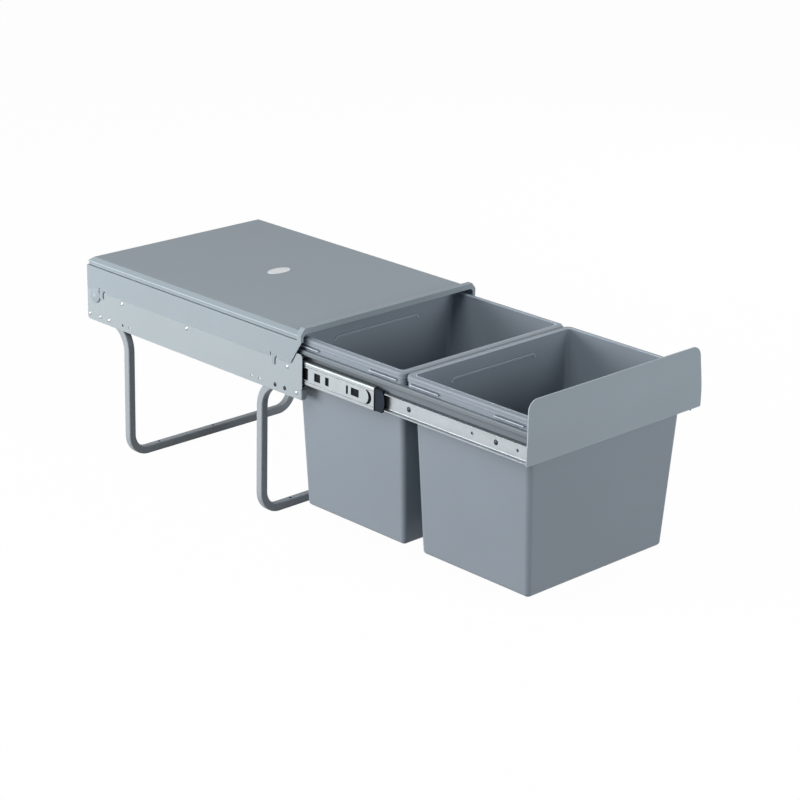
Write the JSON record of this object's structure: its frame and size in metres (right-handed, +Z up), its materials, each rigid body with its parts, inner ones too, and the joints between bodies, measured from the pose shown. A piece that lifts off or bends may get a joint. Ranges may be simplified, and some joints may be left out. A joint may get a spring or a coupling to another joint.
{
  "type": "pull out bin frame",
  "caption": "Cabinet floor pull-out for waste bins: folded side plates on bent tube legs, a lift-up lid, and bins hung by their rims on telescopic ball slides behind a front panel.",
  "frame": {"origin": "on the cabinet floor, in the middle between the four outer floor screw holes of the legs", "axes": "+Z up, +Y into the cabinet, so the drawer comes out towards -Y"},
  "size_m": [0.3444, 0.902, 0.3155],
  "materials": {
    "coated_steel": "fine powder coat, satin grey",
    "leg_coat": "powder coat, satin grey",
    "panel_coat": "fine powder coat, satin blue grey",
    "lid_plastic": "moulded, fine matt grain",
    "bin_plastic": "moulded, satin",
    "carrier_coat": "powder coat, satin grey",
    "zinc_steel": "rolled strip, zinc plated",
    "greased_steel": "dark greased strip",
    "black_zinc": "black zinc plated",
    "bright_steel": "bright plated",
    "black_plastic": "moulded black",
    "badge_plastic": "smooth silver grey"
  },
  "bodies": {
    "frame": {"side_plate_left": "coated_steel", "side_plate_right": "coated_steel", "front_leg": "leg_coat", "rear_leg": "leg_coat", "leg_rivets": "bright_steel", "outer_rail_left": "zinc_steel", "outer_rail_right": "zinc_steel", "rail_rivets": "bright_steel", "lid_pins": "bright_steel"},
    "lid": {"lid_cover": "lid_plastic", "lid_badge": "badge_plastic"},
    "drawer": {"carrier_rail_left": "carrier_coat", "carrier_rail_right": "carrier_coat", "carrier_front_bar": "carrier_coat", "carrier_rear_bar": "carrier_coat", "bar_rivets": "bright_steel", "front_panel": "panel_coat", "panel_studs": "bright_steel", "panel_nuts": "bright_steel", "front_bin": "bin_plastic", "rear_bin": "bin_plastic", "inner_rail_left": "zinc_steel", "inner_rail_right": "zinc_steel", "inner_rail_screws": "black_zinc"},
    "middle_rail_left": {"middle_rail_left": "zinc_steel"},
    "outer_cage_left": {"outer_cage_left": "zinc_steel", "outer_balls_left": "bright_steel"},
    "inner_cage_left": {"inner_cage_left": "greased_steel", "inner_balls_left": "bright_steel", "retainer_end_left": "black_plastic"},
    "middle_rail_right": {"middle_rail_right": "zinc_steel"},
    "outer_cage_right": {"outer_cage_right": "zinc_steel", "outer_balls_right": "bright_steel"},
    "inner_cage_right": {"inner_cage_right": "greased_steel", "inner_balls_right": "bright_steel", "retainer_end_right": "black_plastic"}
  },
  "joints": [
    {"name": "drawer_slide", "type": "slide", "parent": "frame", "child": "drawer", "axis": [0, 1, 0], "range_m": [0, 0.417]},
    {"name": "lid_hinge", "type": "hinge", "parent": "frame", "child": "lid", "pos_m": [0, 0.22, 0.2416], "axis": [-1, 0, 0], "range_deg": [0, 60]},
    {"name": "middle_rail_left_slide", "type": "slide", "parent": "frame", "child": "middle_rail_left", "axis": [0, 1, 0], "range_m": [0, 0.15654]},
    {"name": "outer_cage_left_slide", "type": "slide", "parent": "frame", "child": "outer_cage_left", "axis": [0, 1, 0], "range_m": [0, 0.07827]},
    {"name": "inner_cage_left_slide", "type": "slide", "parent": "frame", "child": "inner_cage_left", "axis": [0, 1, 0], "range_m": [0, 0.28677]},
    {"name": "middle_rail_right_slide", "type": "slide", "parent": "frame", "child": "middle_rail_right", "axis": [0, 1, 0], "range_m": [0, 0.15654]},
    {"name": "outer_cage_right_slide", "type": "slide", "parent": "frame", "child": "outer_cage_right", "axis": [0, 1, 0], "range_m": [0, 0.07827]},
    {"name": "inner_cage_right_slide", "type": "slide", "parent": "frame", "child": "inner_cage_right", "axis": [0, 1, 0], "range_m": [0, 0.28677]}
  ],
  "couplings": [
    {"joint": "middle_rail_left_slide", "follows": "drawer_slide", "ratio": 0.3754},
    {"joint": "outer_cage_left_slide", "follows": "drawer_slide", "ratio": 0.1877},
    {"joint": "inner_cage_left_slide", "follows": "drawer_slide", "ratio": 0.6877},
    {"joint": "middle_rail_right_slide", "follows": "drawer_slide", "ratio": 0.3754},
    {"joint": "outer_cage_right_slide", "follows": "drawer_slide", "ratio": 0.1877},
    {"joint": "inner_cage_right_slide", "follows": "drawer_slide", "ratio": 0.6877}
  ]
}
